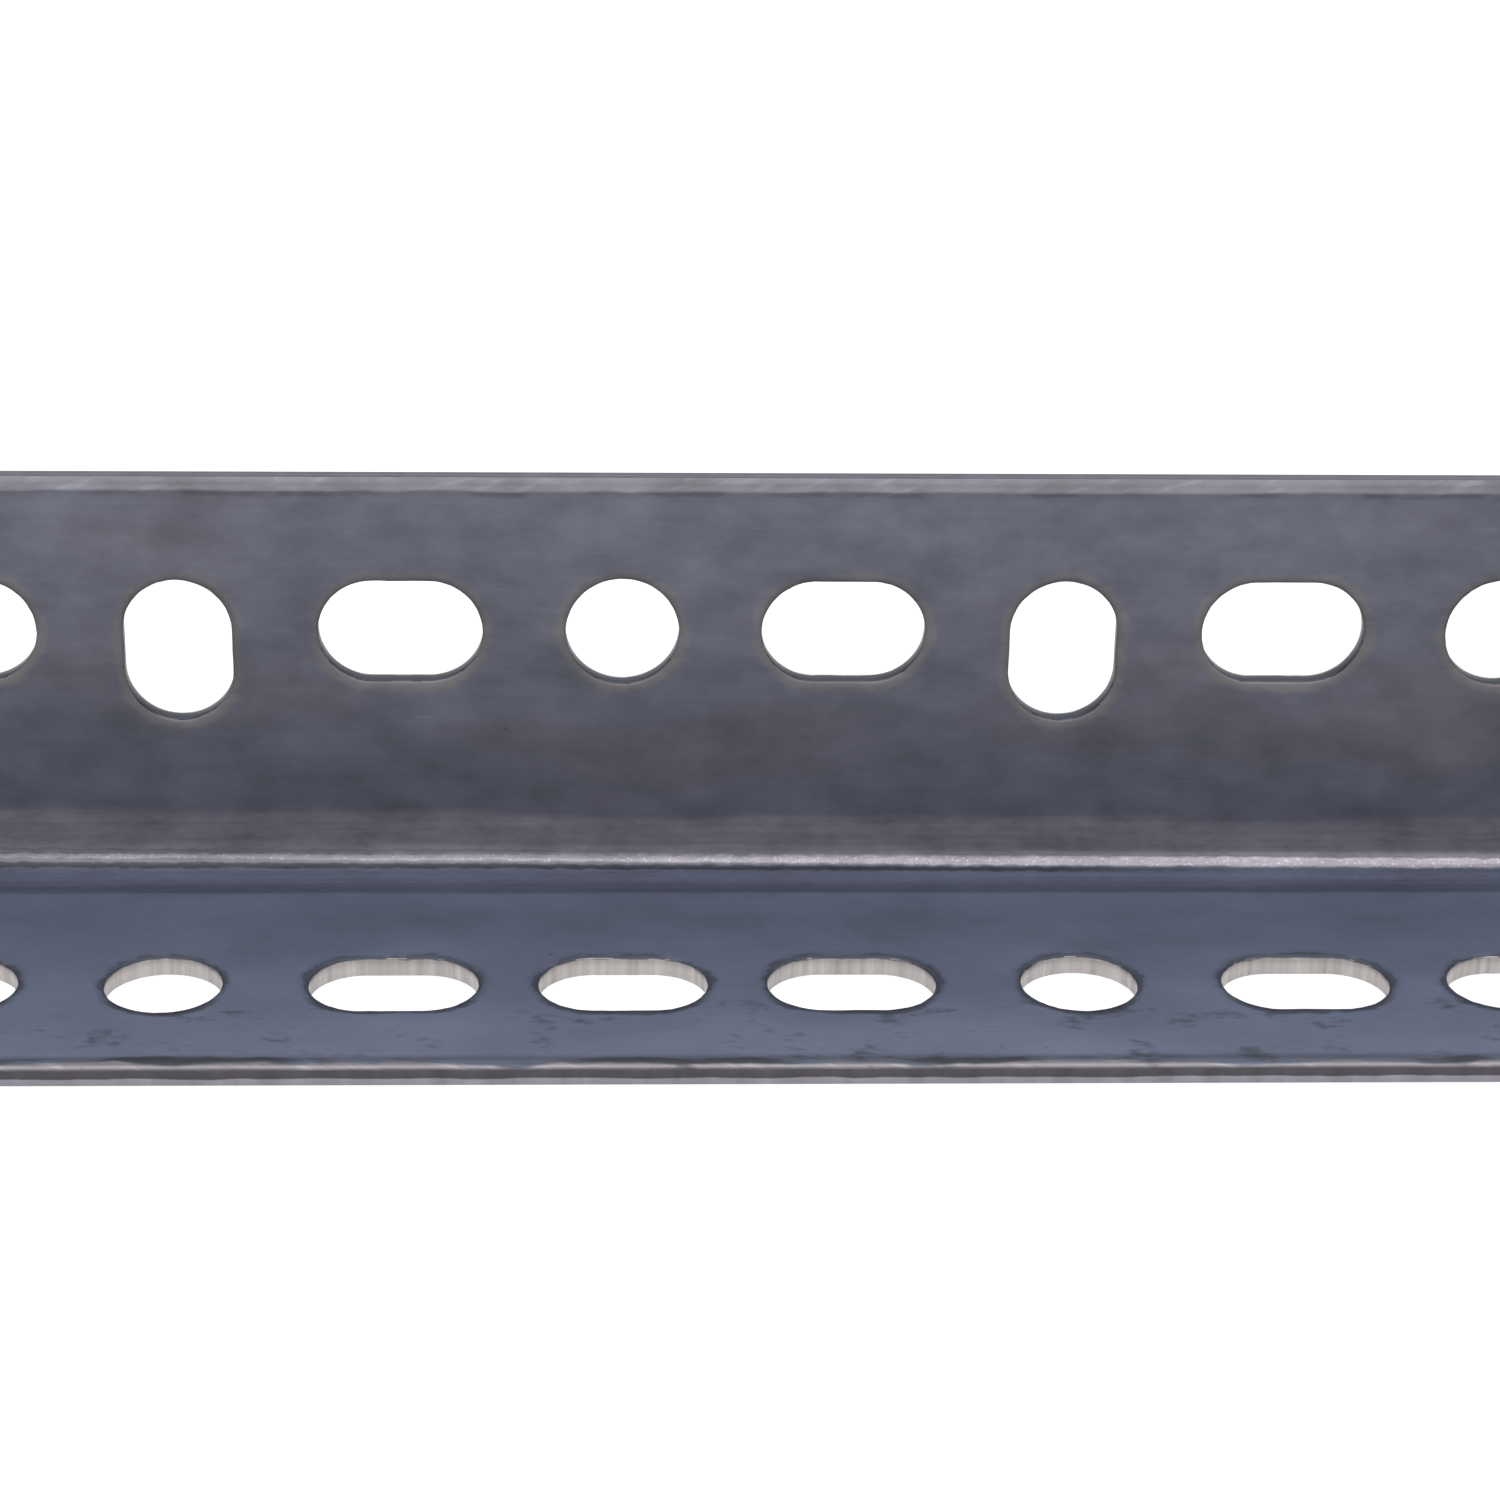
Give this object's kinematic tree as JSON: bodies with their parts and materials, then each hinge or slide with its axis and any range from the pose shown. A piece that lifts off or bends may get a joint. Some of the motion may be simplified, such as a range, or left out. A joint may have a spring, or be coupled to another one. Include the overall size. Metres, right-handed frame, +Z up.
{
  "type": "slotted angle",
  "caption": "Length of slotted steel angle: an equal-leg L section bent from sheet, one leg flat and one upright, each punched with a row of round holes and slots.",
  "frame": {"origin": "on the floor, under the middle of the bounding box: the middle of the bar's length and of the lying leg's width", "axes": "+X along the bar, +Y from the lying leg's toe towards the upright leg's back, +Z up"},
  "size_m": [0.6096, 0.0382, 0.0381],
  "materials": {
    "plain_steel": "plain cold-rolled mill finish, unplated, dark blue-grey, with bending and slitting marks"
  },
  "bodies": {
    "root": {"slotted_angle": "plain_steel"}
  },
  "joints": []
}
